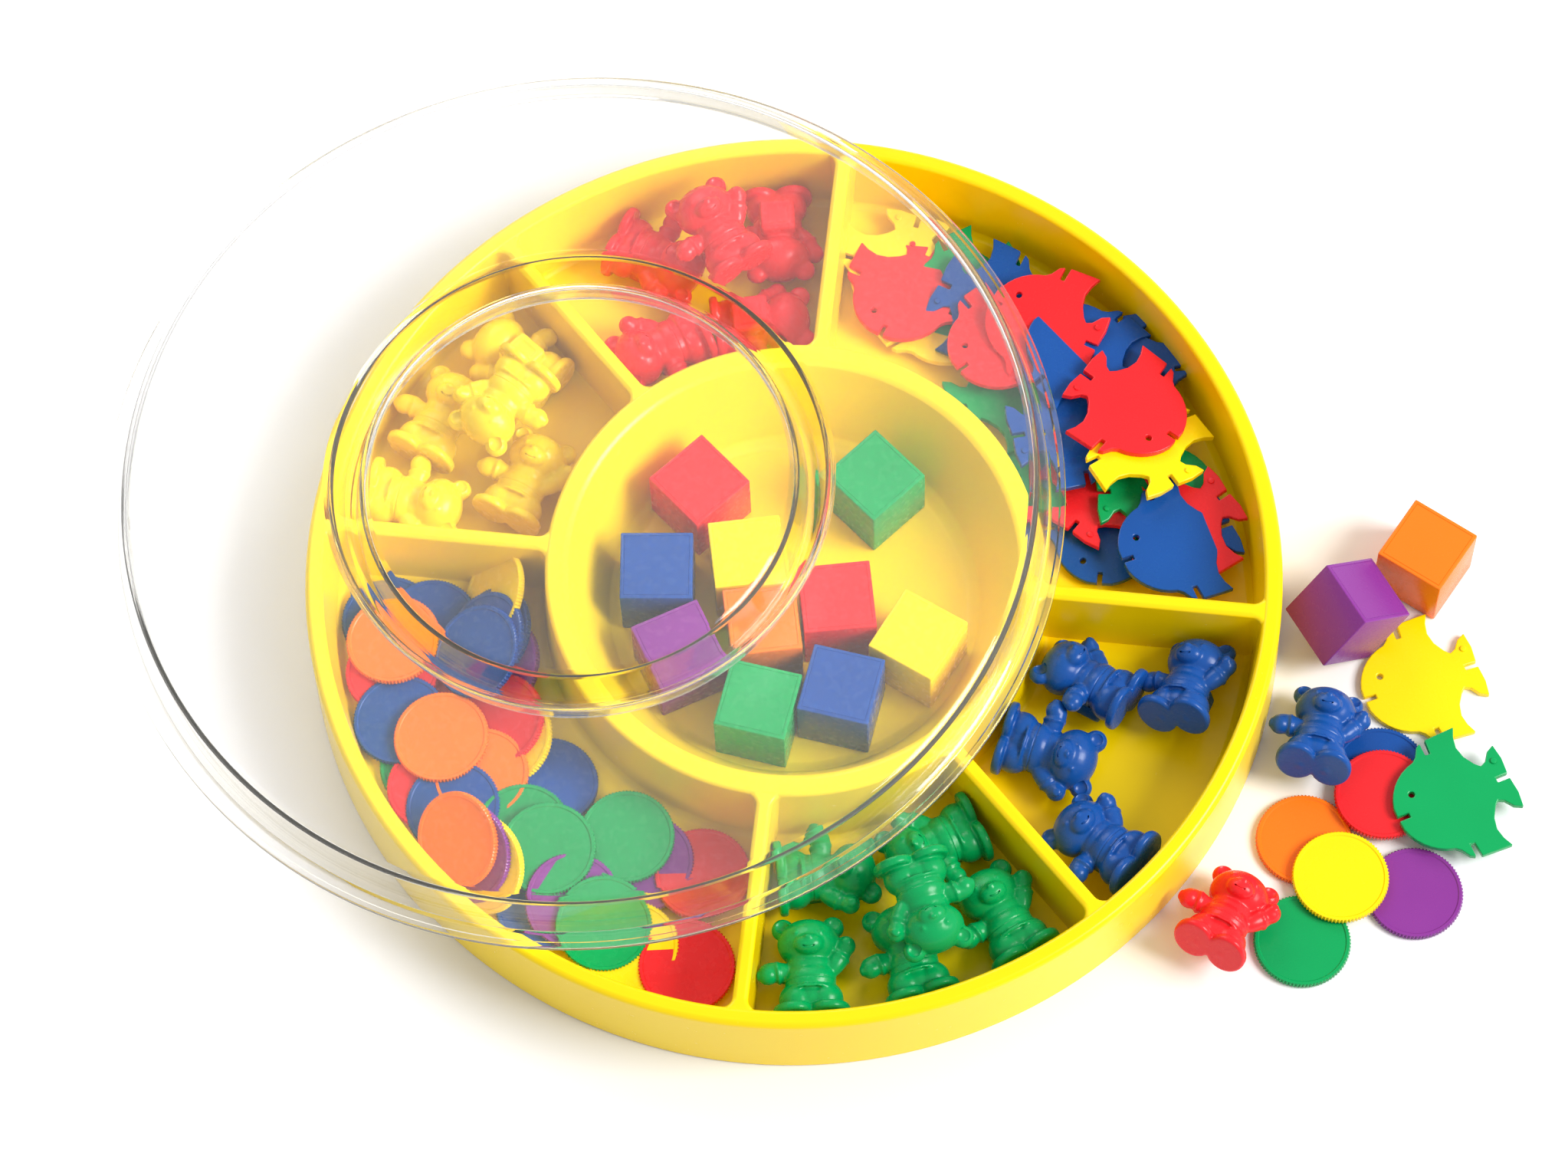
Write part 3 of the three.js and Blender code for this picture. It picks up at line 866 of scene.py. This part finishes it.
# %% Creases, ear cups and a smile
for side in (-1, 1):
    cut_with(bear_pattern, ball(side * 7.8, -2.8, 27.9, 2.4, 1.7, 2.4))
cut_with(bear_pattern, ring(0, -0.2, 10.4, 7.75, 6.55, 0.34))
cut_with(bear_pattern, ring(0, -8.8, 19.9, 2.0, 1.6, 0.34, (62, 0, 0)))
rest()
bear_height = max(v.co.z for v in bear_pattern.data.vertices)
to_size = Matrix.Scale(BEAR_HEIGHT / bear_height, 4)
bear_pattern.data.transform(to_size @ spot(0, 0, -bear_height / 2))
smooth(bear_pattern, 60)
print("bear:", len(bear_pattern.data.polygons), "faces,", BEAR_HEIGHT, "mm tall")

# %% [markdown]
# ## Counters in the tray
# The rows say where each counter lies: out from the bowl's rim, on a bearing, and how high, then
# how it is turned. They are the frame's rows, so each counter stands in for its own CAD node.

# %% Rows
GAP = 0.3
TOUCH = FLOOR + GAP
BEAR_BED = BEAR_HEIGHT * 0.285

CUBES = [
    ("red", (-24.8, 30), 40),
    ("green", (23.8, 28.8), 41),
    ("blue", (-37.6, 4.5), -3),
    ("yellow", (-12.4, 7.4), 4),
    ("orange", (-9.2, -13.2), 4),
    ("red", (11.6, -7.6), 3),
    ("yellow", (33.2, -20), -34),
    ("purple", (-32.4, -19.2), 22),
    ("green", (-11.4, -37), -17),
    ("blue", (11.4, -33.8), -17),
]
BEARS = {
    "red": [
        ((42.7, 89.7, 0), -89, 0, 180),
        ((43, 107.5, 0), -30, 0, 0),
        ((16.6, 114.1, 0), 204, 0, 0),
        ((15.9, 93.3, 0), 4, 0, 180),
        ((40, 99, 15), 120, 6, 0),
    ],
    "yellow": [
        ((45, 148.3, 0), 60, 0, 0),
        ((39.5, 134.6, 0), 134, 0, 180),
        ((28, 145, 15), -130, -5, 0),
        ((41.2, 162.5, 0), 343, 0, 0),
        ((14.6, 152, 0), 62, 0, 0),
    ],
    "green": [
        ((16.2, 273.5, 0), 4, 0, 0),
        ((42.5, 269.5, 0), 90, 0, 0),
        ((42.5, 283.5, 0), 104, 0, 0),
        ((16.4, 293.5, 0), 203, 0, 0),
        ((37, 287, 15), -75, -5, 0),
        ((42.5, 297.5, 0), 118, 0, 0),
    ],
    "blue": [
        ((16.5, 338.5, 0.9), 145, -5, 25),
        ((44, 342.3, 2.9), 65, -15, -25),
        ((17, 322.4, 0.4), -22, 0, 15),
        ((43.9, 314.6, 3.4), 138, -12, 0),
    ],
}
DISCS = [
    ("blue", (33, 181, 2.3), 0, 3, 180),
    ("orange", (43.5, 184, 6.1), 0, 5, 180),
    ("orange", (37.5, 201, 6.3), 0, 4, 200),
    ("blue", (18, 216.5, 2.9), 0, 8, 20),
    ("green", (33, 226, 7.4), 0, 6, 240),
    ("green", (17, 235, 5.7), 0, 5, 250),
    ("red", (17, 250.2, 2.8), 0, 4, 100),
    ("red", (43.7, 252.3, 2.5), 0, 3, 270),
]
FISH = [
    ("red", (29, 69, 5.4), 60, 5, 90),
    ("red", (26, 50, 9.4), 35, 6, 60),
    ("blue", (25, 28.5, 12.1), -170, 6, 20),
    ("blue", (39.4, 40, 13.3), -50, 7, 30),
    ("red", (40, 25, 16.9), 140, 10, 30),
    ("green", (40, 13.6, 7.1), 180, 5, 0),
    ("blue", (20, 9, 2.9), 80, 4, 200),
    ("blue", (36, 4, 10.4), 20, 5, 10),
]


def in_tray(out, bearing, z):
    return (*polar(BOWL_OUTER + out, bearing), TOUCH + z)


def beside(out, bearing, z):
    return (*polar(TRAY_RADIUS + out, bearing), z)


# %% Counters that stand in for CAD nodes
for i, (colour, (x, y), turned_by) in enumerate(CUBES, 1):
    piece = f"cube_{colour}_{i}"
    settle(
        copy_of(cube_pattern),
        piece + "_moulding",
        colour,
        lay(x, y, TOUCH + CUBE / 2, turned_by),
        node=piece,
    )
for colour, rows in BEARS.items():
    for i, ((out, at, layer), bearing, rise, roll) in enumerate(rows, 1):
        piece = f"bear_{colour}_{i}"
        place = lay_bear(*in_tray(out, at, BEAR_BED + layer), bearing, rise, roll)
        settle(copy_of(bear_pattern), piece + "_moulding", colour, place, node=piece)
for kind, pattern, rows in (("disc", disc_pattern, DISCS), ("fish", fish_pattern, FISH)):
    for i, (colour, place, turned_by, lean, bearing) in enumerate(rows, 1):
        piece = f"{kind}_{colour}_{i}"
        matrix = lay(*in_tray(*place), turned_by, lean, bearing)
        settle(copy_of(pattern), piece + "_moulding", colour, matrix, node=piece)
print("counters in the tray stand in for their nodes")

# %% [markdown]
# ## The rest of the heaps
# The disc and fish compartments hold more counters than the CAD model keeps. These fill the
# heaps under and between the others. They rest on the tray's body and stand in for no node.

# %% More discs and fish
MORE_DISCS = [
    ("blue", (-113, 0.5, 1.0), 0, 0),
    ("yellow", (-83, 2.5, 9.5), 50, 180),
    ("blue", (-83.5, -8, 7.6), 38, 186),
    ("blue", (-85.5, -10.5, 9.9), 36, 188),
    ("purple", (-82, -17, 6.4), 34, 192),
    ("blue", (-88, -15, 11.6), 28, 190),
    ("red", (-112, -16, 3.2), 4, 200),
    ("blue", (-110, -31, 3.6), 4, 200),
    ("red", (-104, -26, 1.2), 2, 90),
    ("red", (-82, -33, 6.4), 26, 200),
    ("yellow", (-80, -38, 4.4), 28, 200),
    ("orange", (-88, -49, 5.4), 6, 225),
    ("red", (-101, -51, 2.2), 3, 0),
    ("blue", (-96, -58, 4.4), 8, 220),
    ("green", (-103, -44, 1.0), 0, 0),
    ("orange", (-94.5, -70, 10.5), 42, 215),
    ("purple", (-91, -73, 9.2), 44, 216),
    ("yellow", (-87.5, -76, 8.0), 46, 216),
    ("green", (-77, -66, 5.0), 5, 250),
    ("purple", (-64, -87, 4.4), 14, 300),
    ("green", (-56, -94, 4.6), 10, 280),
    ("yellow", (-49, -100, 3.0), 8, 270),
    ("purple", (-44, -76, 3.0), 6, 260),
    ("blue", (-72, -86, 1.2), 2, 0),
]
MORE_FISH = [
    ("yellow", (34.5, 99, 3.2), 70, 4, 250),
    ("green", (51.5, 91.5, 4.2), 20, 6, 240),
    ("blue", (62.5, 84.5, 7.6), 150, 8, 230),
    ("red", (71.5, 77.5, 13.5), -30, 9, 225),
    ("green", (66, 62, 2.6), 200, 4, 60),
    ("yellow", (47, 84, 2.4), 120, 5, 80),
    ("yellow", (97.5, 40, 15.0), -60, 12, 35),
    ("red", (105.5, 13, 8.0), 30, 8, 200),
    ("blue", (96, 60, 9.0), 90, 6, 210),
    ("red", (90, 30, 5.4), 230, 4, 100),
    ("green", (75, 36, 2.4), 15, 5, 30),
]


def in_heap(x, y, z):
    return x, y, TOUCH + z


for i, (colour, place, lean, bearing) in enumerate(MORE_DISCS, 1):
    matrix = lay(*in_heap(*place), 0, lean, bearing)
    settle(copy_of(disc_pattern), f"heap_disc_{colour}_{i}", colour, matrix)
for i, (colour, place, turned_by, lean, bearing) in enumerate(MORE_FISH, 1):
    matrix = lay(*in_heap(*place), turned_by, lean, bearing)
    settle(copy_of(fish_pattern), f"heap_fish_{colour}_{i}", colour, matrix)
print("heaps:", len(MORE_DISCS), "discs and", len(MORE_FISH), "fish more")

# %% [markdown]
# ## Counters on the table
# Twelve counters lie on the table at the tray's right: two cubes, two fish, six discs and two
# bears.

# %% Loose counters
FLAT = DISC_THICK / 2
FLAT_ON_FLAT = FLAT + DISC_THICK + GAP
LOOSE = [
    ("cube_orange", cube_pattern, lay(*beside(CUBE * 2.05, 0.3, CUBE / 2), -37)),
    ("cube_purple", cube_pattern, lay(*beside(CUBE * 0.93, -5.9, CUBE * 0.705 + GAP), 27, 38, 27)),
    ("fish_yellow", fish_pattern, lay(*beside(38.1, -11.1, FLAT), 16)),
    ("fish_green", fish_pattern, lay(*beside(53.5, -21.9, 5.6), 20)),
    ("disc_blue", disc_pattern, lay(*beside(34.5, -20.3, FLAT))),
    ("disc_red", disc_pattern, lay(*beside(36.9, -22.7, FLAT_ON_FLAT))),
    ("disc_orange", disc_pattern, lay(*beside(21.9, -29.7, FLAT))),
    ("disc_yellow", disc_pattern, lay(*beside(35.6, -31.8, FLAT_ON_FLAT))),
    ("disc_purple", disc_pattern, lay(*beside(55.2, -29.9, FLAT))),
    ("disc_green", disc_pattern, lay(*beside(35.9, -38.8, FLAT))),
    ("bear_blue", bear_pattern, lay_bear(*beside(16.2, -19, BEAR_BED + 2.4), 73, -18, 0)),
    ("bear_red", bear_pattern, lay_bear(*beside(17.3, -41.9, BEAR_BED + 2.4), 59, -18, 0)),
]
for piece, pattern, place in LOOSE:
    node = "loose_" + piece
    settle(copy_of(pattern), node + "_moulding", piece.split("_")[1], place, node=node)
print("loose counters:", len(LOOSE))

# %% Put the patterns away and finish
for pattern in (cube_pattern, disc_pattern, fish_pattern, bear_pattern):
    bpy.data.objects.remove(pattern)
